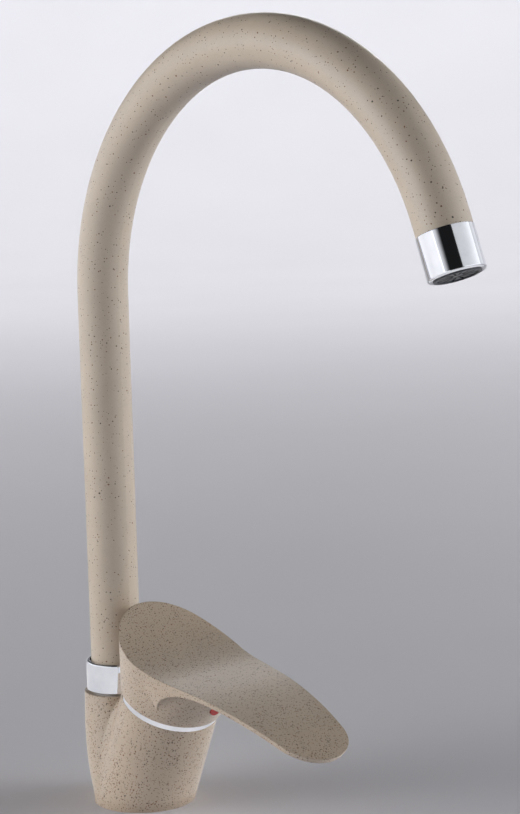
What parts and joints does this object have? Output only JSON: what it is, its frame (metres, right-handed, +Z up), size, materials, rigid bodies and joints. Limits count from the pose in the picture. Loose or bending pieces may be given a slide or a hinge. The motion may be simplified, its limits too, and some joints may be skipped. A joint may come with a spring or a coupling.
{
  "type": "kitchen mixer tap",
  "caption": "Single-lever kitchen mixer tap with a round swan-neck spout that swivels, a leaning cartridge body and a long paddle handle.",
  "frame": {"origin": "centre of the round base on the worktop surface", "axes": "+Z up, away from the worktop; +X to the front, the way the spout reaches; +Y to the tap's left, as someone standing behind it and facing the front has it"},
  "size_m": [0.2691, 0.0633, 0.4405],
  "materials": {
    "coating": "satin sand-coloured coating with fine brown specks",
    "spout_coating": "satin sand-coloured coating with few specks",
    "chrome": "polished",
    "brass": "machined",
    "steel": "machined",
    "zinc_steel": "zinc plated",
    "rubber": "matte",
    "grey_plastic": "moulded",
    "white_plastic": "moulded",
    "ceramic": "lapped ceramic",
    "red_plastic": "glossy"
  },
  "bodies": {
    "tap_body": {"body_casting": "coating", "base_seal": "rubber", "cartridge_housing": "grey_plastic", "cartridge_base": "grey_plastic", "port_seals": "rubber", "fixed_disc": "ceramic", "disc_collar": "grey_plastic", "retaining_nut": "brass", "cover_ring": "chrome", "swivel_nut": "chrome", "fixing_stud": "zinc_steel", "horseshoe_gasket": "rubber", "horseshoe_washer": "zinc_steel", "fixing_nut": "brass"},
    "rotor": {"cartridge_rotor": "white_plastic", "pivot_pin": "steel"},
    "lever": {"lever_stem": "steel", "handle": "coating", "handle_grub_screw": "steel", "indicator_plug": "red_plastic"},
    "discs": {"moving_disc": "ceramic", "disc_carrier": "white_plastic"},
    "spout": {"spout_tube": "spout_coating", "spout_spigot": "brass", "spout_o_ring_lower": "rubber", "spout_o_ring_upper": "rubber", "spout_slide_ring": "white_plastic", "spout_snap_ring": "steel", "nozzle_housing": "chrome", "aerator_washer": "rubber", "aerator_screen": "steel", "aerator_cage": "grey_plastic"}
  },
  "joints": [
    {"name": "lever_turn", "type": "hinge", "parent": "tap_body", "child": "rotor", "pos_m": [0.0224, 0, 0.0532], "axis": [0.4051, 0, 0.9143], "range_deg": [-45, 45]},
    {"name": "lever_lift", "type": "hinge", "parent": "rotor", "child": "lever", "pos_m": [0.02402, 0, 0.05686], "axis": [0, -1, 0], "range_deg": [0, 14]},
    {"name": "disc_slide", "type": "slide", "parent": "rotor", "child": "discs", "axis": [0.9143, 0, -0.4051], "range_m": [0, 0.0041]},
    {"name": "spout_swivel", "type": "hinge", "parent": "tap_body", "child": "spout", "pos_m": [-0.0196, 0, 0.05], "axis": [0, 0, 1], "continuous": true}
  ],
  "couplings": [
    {"joint": "disc_slide", "follows": "lever_lift", "m_per_rad": 0.016583}
  ]
}
